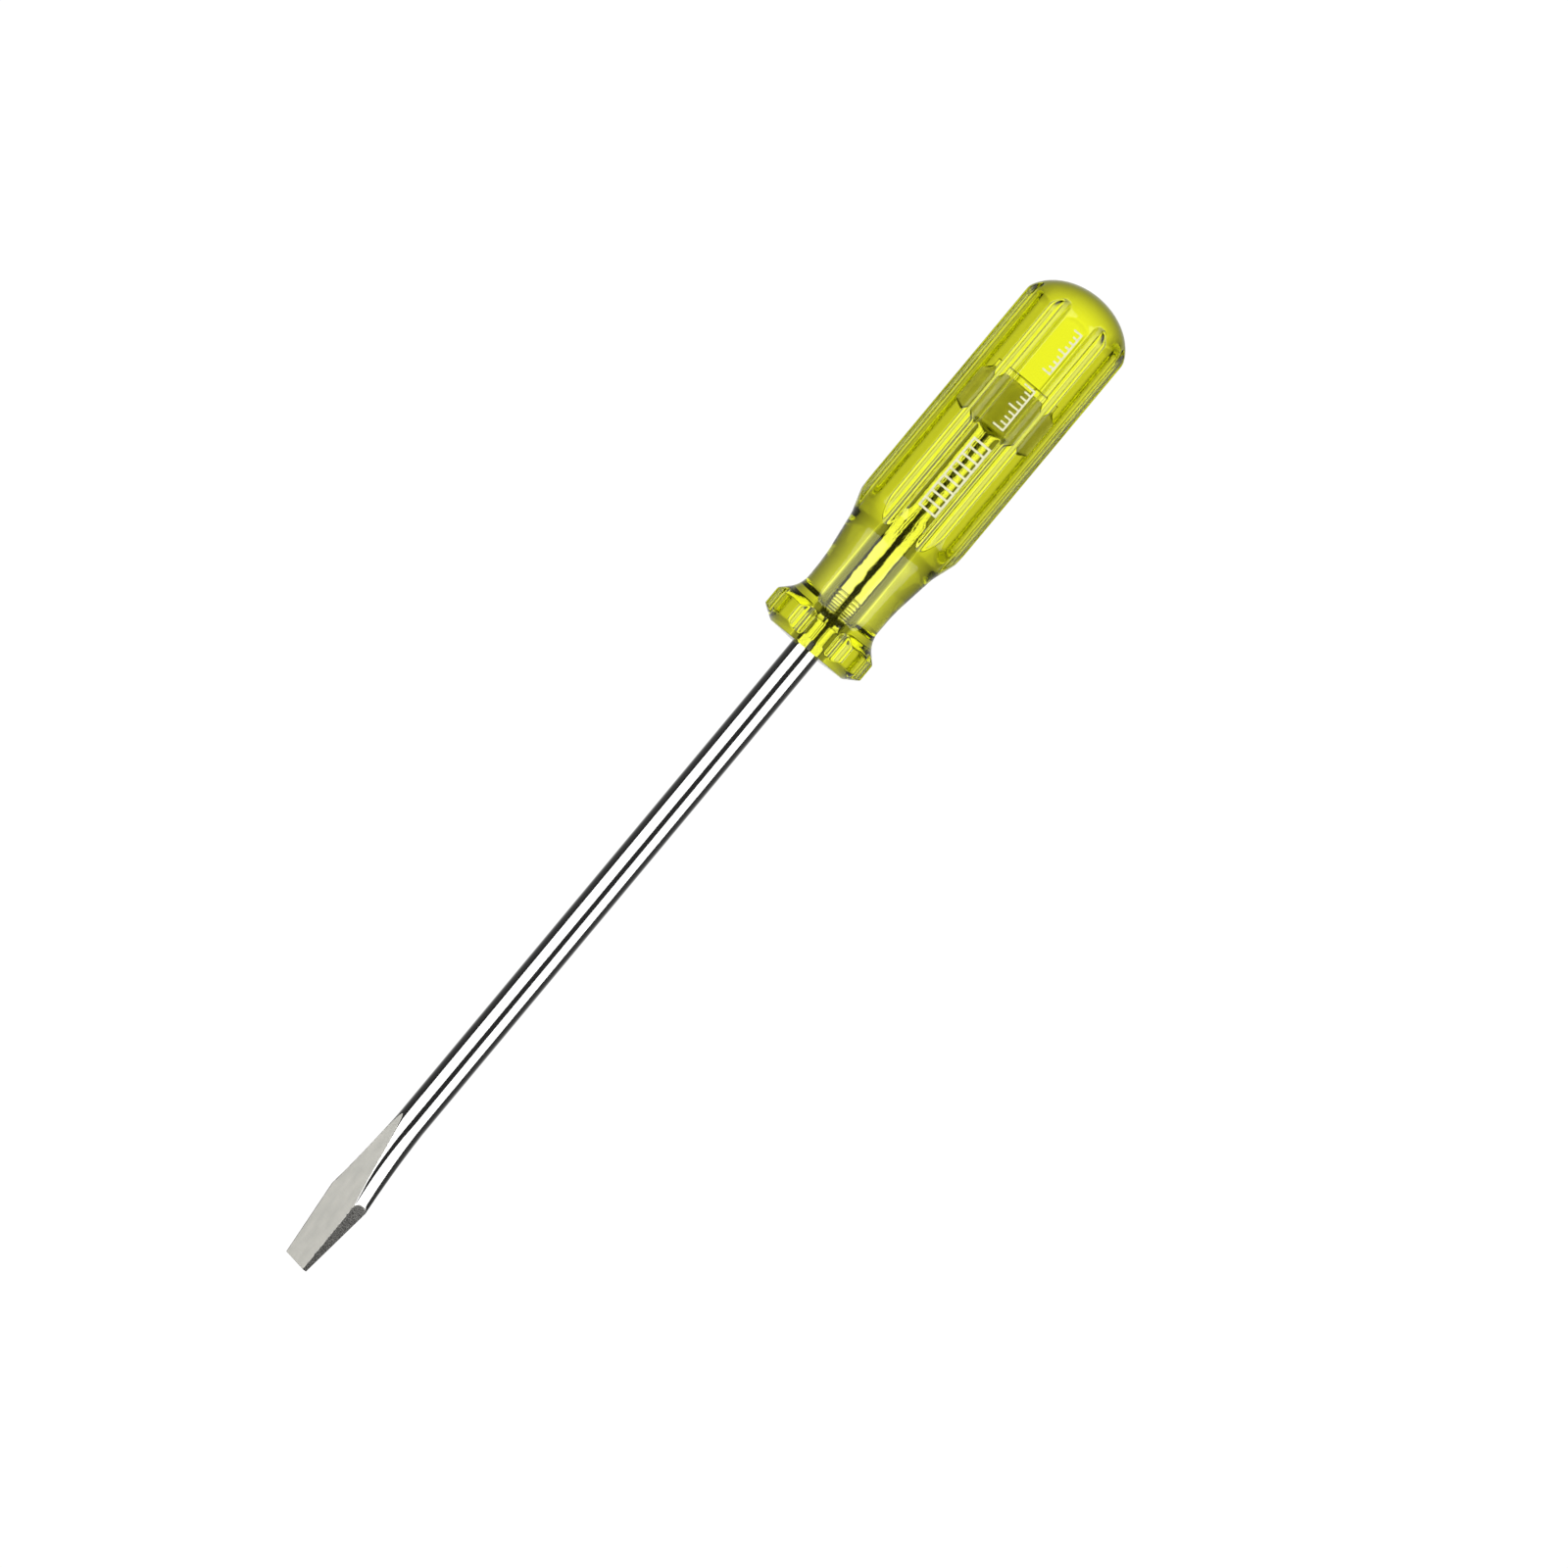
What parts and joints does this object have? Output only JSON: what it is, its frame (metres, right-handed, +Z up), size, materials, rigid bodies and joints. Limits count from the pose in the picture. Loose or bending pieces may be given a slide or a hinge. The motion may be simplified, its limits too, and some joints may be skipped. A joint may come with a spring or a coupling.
{
  "type": "slotted screwdriver",
  "caption": "Slotted screwdriver with a flared, ground steel blade pressed into a clear fluted plastic handle with a turned collar and domed butt.",
  "frame": {"origin": "on the surface that the tool lies on, under the blade's axis, halfway along the tool's length", "axes": "+X along the blade's axis from the tip to the butt, +Z up out of the land with the foil marks, +Y across"},
  "size_m": [0.3156, 0.031, 0.031],
  "materials": {
    "plated_steel": "bright nickel-chrome plate, with the tip's flats and edges ground to bare satin steel",
    "clear_acetate": "clear yellow-green cellulose acetate, polished",
    "stamping_foil": "cream hot-stamping foil"
  },
  "bodies": {
    "root": {"blade": "plated_steel", "handle": "clear_acetate", "foil_badge": "stamping_foil", "foil_size_scale": "stamping_foil", "foil_grade_scale": "stamping_foil"}
  },
  "joints": []
}
